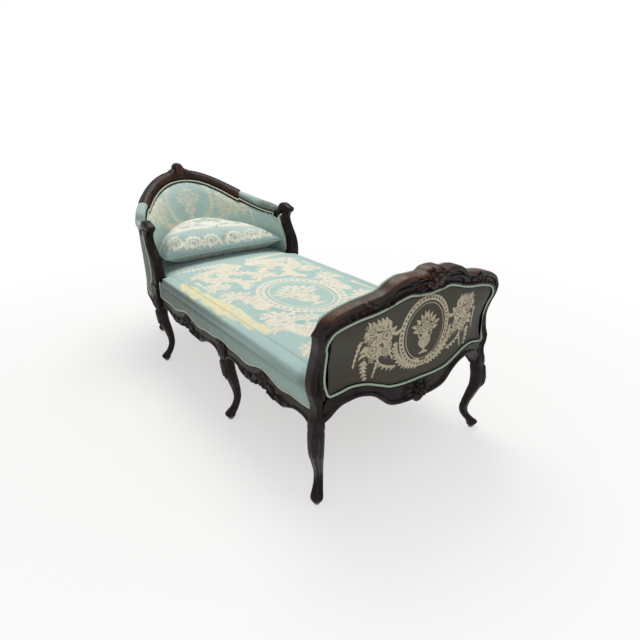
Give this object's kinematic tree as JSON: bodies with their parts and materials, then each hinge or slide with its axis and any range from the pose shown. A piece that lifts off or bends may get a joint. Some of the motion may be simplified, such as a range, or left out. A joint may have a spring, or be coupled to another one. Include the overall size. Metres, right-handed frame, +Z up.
{
  "type": "fainting couch",
  "caption": "Long carved walnut daybed on cabriole legs with a low shaped footboard, a padded seat, a rounded raked head end with padded arms and a loose pillow.",
  "frame": {"origin": "middle of the outline seen from above, on the floor under the glides", "axes": "+X towards the footboard, +Y towards the left side of a person lying with the head at the rounded end, +Z up"},
  "size_m": [2.0054, 0.824, 0.889],
  "materials": {
    "dark_walnut": "waxed, rubbed lighter on the edges",
    "plain_wood": "unfinished",
    "pale_cloth": "plain woven cloth",
    "pale_print": "printed cotton",
    "dark_print": "printed cotton",
    "outside_cloth": "plain woven cloth",
    "pale_piping": "piping cord covered in cloth",
    "sage_piping": "piping cord covered in cloth",
    "hessian": "open jute weave",
    "jute_webbing": "woven jute strap",
    "steel": "plain"
  },
  "bodies": {
    "couch": {"foot_post_left": "dark_walnut", "foot_post_right": "dark_walnut", "foot_crest_rail": "dark_walnut", "foot_lower_rail": "dark_walnut", "mid_leg_left": "dark_walnut", "mid_leg_right": "dark_walnut", "head_leg_left": "dark_walnut", "head_leg_right": "dark_walnut", "rear_post_left": "dark_walnut", "rear_post_right": "dark_walnut", "side_rail_foot_left": "dark_walnut", "side_rail_foot_right": "dark_walnut", "side_rail_head_left": "dark_walnut", "side_rail_head_right": "dark_walnut", "head_rail_left": "dark_walnut", "head_rail_right": "dark_walnut", "head_rail_back": "dark_walnut", "cross_rail_mid": "plain_wood", "cross_rail_head": "plain_wood", "corner_blocks": "plain_wood", "block_screws": "steel", "foot_glides": "steel", "arm_support_left": "dark_walnut", "arm_support_right": "dark_walnut", "arm_rail_left": "dark_walnut", "arm_rail_right": "dark_walnut", "back_crest_rail": "dark_walnut", "webbing_long": "jute_webbing", "webbing_cross": "jute_webbing", "seat_hessian": "hessian", "seat_pad": "pale_print", "seat_border_left": "pale_cloth", "seat_border_right": "pale_cloth", "seat_welt_left": "pale_piping", "seat_welt_right": "pale_piping", "foot_outer_panel": "dark_print", "foot_hessian": "hessian", "foot_inner_pad": "pale_cloth", "foot_outer_welt": "sage_piping", "foot_inner_welt": "pale_piping", "head_outer_back": "outside_cloth", "head_outer_arm_left": "outside_cloth", "head_outer_arm_right": "outside_cloth", "head_inner_pad": "pale_print", "head_outer_welt": "pale_piping", "head_inner_welt": "pale_piping", "arm_pad_left": "pale_cloth", "arm_pad_right": "pale_cloth"},
    "pillow": {"pillow": "pale_print", "pillow_welt": "pale_piping"}
  },
  "joints": [
    {"name": "pillow_lift", "type": "slide", "parent": "couch", "child": "pillow", "axis": [0, 0, 1], "range_m": [0, 0.35]}
  ]
}
